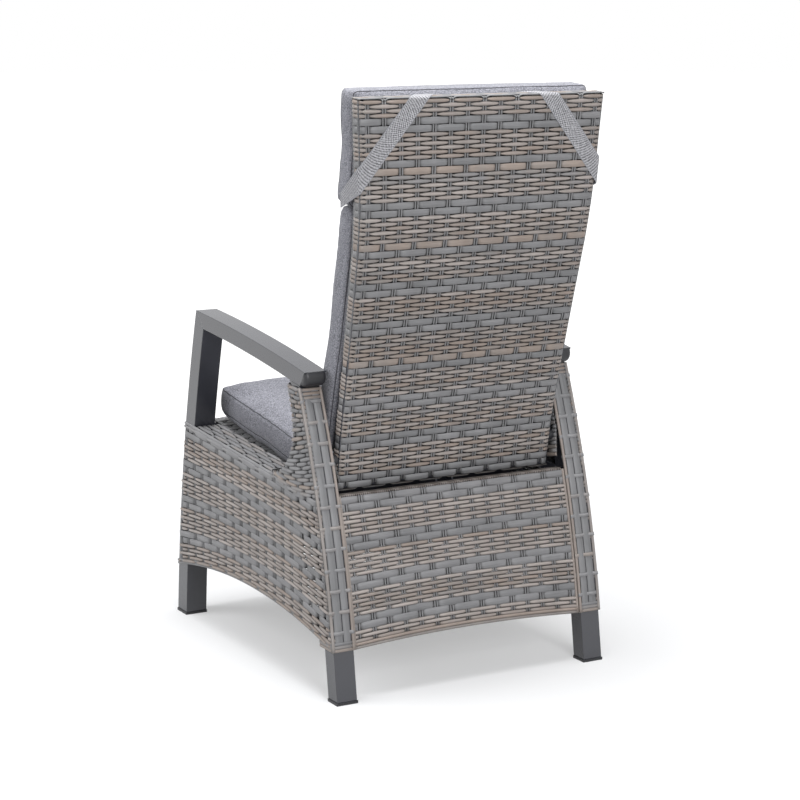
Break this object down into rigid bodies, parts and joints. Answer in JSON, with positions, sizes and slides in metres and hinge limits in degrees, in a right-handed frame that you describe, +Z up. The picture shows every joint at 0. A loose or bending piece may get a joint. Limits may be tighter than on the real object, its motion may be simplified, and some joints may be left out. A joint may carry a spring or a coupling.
{
  "type": "reclining garden armchair",
  "caption": "High-back reclining garden armchair with woven resin sides and back, metal armrests, loose cushions and a gas spring under the seat",
  "frame": {"origin": "middle of the bounding box, on the floor", "axes": "+Z up, -Y to the front of the chair, +X to the sitter's left"},
  "size_m": [0.6194, 0.7749, 1.1502],
  "materials": {
    "powder_coat": "satin grey powder coat",
    "wicker": "woven resin strands in taupe and grey",
    "cushion_fabric": "light grey melange weave",
    "strap_fabric": "light grey webbing with stitched edges",
    "dark_plastic": "moulded, fine grain",
    "black_paint": "satin black paint",
    "plated_steel": "bright zinc plate"
  },
  "bodies": {
    "frame": {"anchor_screws": "plated_steel", "armrest_end_caps": "dark_plastic", "armrest_left": "powder_coat", "armrest_right": "powder_coat", "deck_rear_cross_tube": "powder_coat", "deck_side_tube_left": "powder_coat", "deck_side_tube_right": "powder_coat", "foot_caps": "dark_plastic", "front_leg_left": "powder_coat", "front_leg_right": "powder_coat", "front_lower_cross_tube": "powder_coat", "front_panel": "wicker", "front_upper_cross_tube": "powder_coat", "hinge_bolts": "plated_steel", "hinge_bushes": "dark_plastic", "lever_bush": "dark_plastic", "lower_side_rail_left": "powder_coat", "lower_side_rail_right": "powder_coat", "rear_leg_left": "powder_coat", "rear_leg_right": "powder_coat", "rear_lower_cross_tube": "powder_coat", "rear_panel": "wicker", "rear_upper_cross_tube": "powder_coat", "seat_cushion": "cushion_fabric", "seat_deck": "wicker", "side_panel_left": "wicker", "side_panel_right": "wicker", "spring_bracket_left": "powder_coat", "spring_bracket_right": "powder_coat", "spring_cross_tube": "powder_coat", "upper_side_rail_left": "powder_coat", "upper_side_rail_right": "powder_coat"},
    "backrest": {"backrest_stile_left": "powder_coat", "backrest_stile_right": "powder_coat", "backrest_top_rail": "powder_coat", "backrest_bottom_rail": "powder_coat", "backrest_middle_rails": "powder_coat", "backrest_weave": "wicker", "crank_plate_left": "powder_coat", "crank_plate_right": "powder_coat", "back_cushion": "cushion_fabric", "head_cushion": "cushion_fabric", "strap_left": "strap_fabric", "strap_right": "strap_fabric"},
    "spring_rod": {"release_head": "black_paint", "spring_rod": "plated_steel"},
    "spring_cylinder": {"spring_cylinder": "black_paint", "cylinder_gland": "black_paint", "spring_end_eye": "plated_steel", "crank_pin": "plated_steel"},
    "release_shaft": {"release_shaft": "plated_steel", "release_finger": "powder_coat", "release_lever": "powder_coat", "lever_grip": "dark_plastic"},
    "release_plunger": {"release_plunger": "plated_steel"}
  },
  "joints": [
    {"name": "recline", "type": "hinge", "parent": "frame", "child": "backrest", "pos_m": [0.00665, 0.23704, 0.445], "axis": [-1, 0, 0], "range_deg": [0, 35]},
    {"name": "spring_tilt", "type": "hinge", "parent": "frame", "child": "spring_rod", "pos_m": [0.00665, -0.08096, 0.332], "axis": [1, 0, 0], "range_deg": [0, 4.34]},
    {"name": "spring_slide", "type": "slide", "parent": "spring_rod", "child": "spring_cylinder", "axis": [0, 0.995, -0.1001], "range_m": [-0.08475, 0]},
    {"name": "release_turn", "type": "hinge", "parent": "frame", "child": "release_shaft", "pos_m": [0.00665, -0.12096, 0.318], "axis": [-1, 0, 0], "range_deg": [0, 15], "stiffness_Nm_per_rad": 0.8},
    {"name": "plunger_slide", "type": "slide", "parent": "spring_rod", "child": "release_plunger", "axis": [0, 0.995, -0.1001], "range_m": [0, 0.0043]}
  ],
  "couplings": [
    {"joint": "spring_tilt", "follows": "recline", "ratio": 0.12392},
    {"joint": "spring_slide", "follows": "recline", "m_per_rad": -0.13866},
    {"joint": "plunger_slide", "follows": "release_turn", "m_per_rad": 0.01612}
  ]
}
